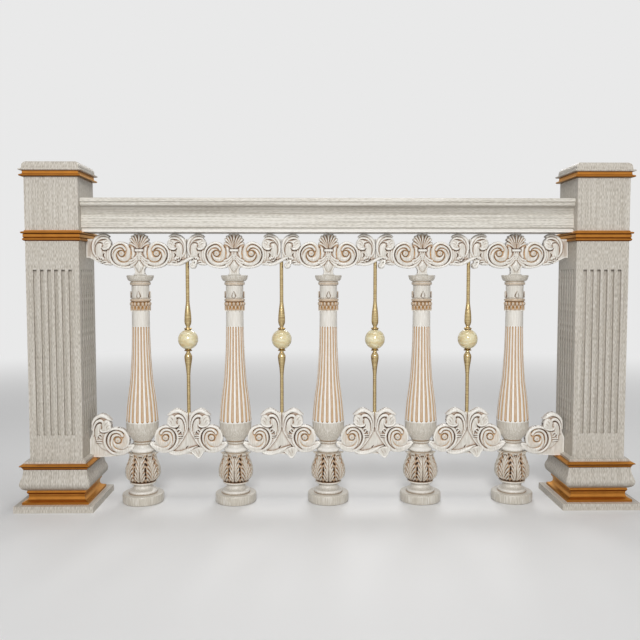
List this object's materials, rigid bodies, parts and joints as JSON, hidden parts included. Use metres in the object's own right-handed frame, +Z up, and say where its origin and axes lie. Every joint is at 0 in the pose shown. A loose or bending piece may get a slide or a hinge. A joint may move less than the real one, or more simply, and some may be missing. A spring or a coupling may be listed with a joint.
{
  "type": "carved wooden balustrade",
  "caption": "Balustrade bay with square fluted newels, a moulded handrail, turned fluted balusters, carved scroll panels, gilt mouldings and brass spindles with polished balls.",
  "frame": {"origin": "on the floor under the middle baluster, midway between the two newels", "axes": "+X along the handrail, -Y is the front face, +Z up"},
  "size_m": [1.904, 0.24, 1.056],
  "materials": {
    "painted_timber": "ivory paint over open-grained timber, satin",
    "painted_turning": "ivory paint with a tan and gold glaze rubbed into the flutes and the carving",
    "patinated_carving": "off-white paint with a brown and gold glaze left in the hollows",
    "gilding": "orange-gold leaf, burnished, over a red-brown ground",
    "polished_brass": "pale brass, turned and polished",
    "onyx": "cream onyx, polished"
  },
  "bodies": {
    "root": {"left_plinth": "painted_timber", "left_gilt_base": "gilding", "left_pedestal": "painted_timber", "left_gilt_fillet": "gilding", "left_cove": "painted_timber", "left_newel_post": "painted_timber", "left_gilt_band": "gilding", "left_gilt_cornice": "gilding", "left_cap": "painted_timber", "right_plinth": "painted_timber", "right_gilt_base": "gilding", "right_pedestal": "painted_timber", "right_gilt_fillet": "gilding", "right_cove": "painted_timber", "right_newel_post": "painted_timber", "right_gilt_band": "gilding", "right_gilt_cornice": "gilding", "right_cap": "painted_timber", "handrail": "painted_timber", "baluster_1": "painted_turning", "baluster_2": "painted_turning", "baluster_3": "painted_turning", "baluster_4": "painted_turning", "baluster_5": "painted_turning", "frieze_1": "patinated_carving", "frieze_2": "patinated_carving", "frieze_3": "patinated_carving", "frieze_4": "patinated_carving", "frieze_5": "patinated_carving", "left_half_cartouche": "patinated_carving", "cartouche_1": "patinated_carving", "cartouche_2": "patinated_carving", "cartouche_3": "patinated_carving", "cartouche_4": "patinated_carving", "right_half_cartouche": "patinated_carving", "spindle_1": "polished_brass", "spindle_2": "polished_brass", "spindle_3": "polished_brass", "spindle_4": "polished_brass", "ball_1": "onyx", "ball_2": "onyx", "ball_3": "onyx", "ball_4": "onyx"}
  },
  "joints": []
}
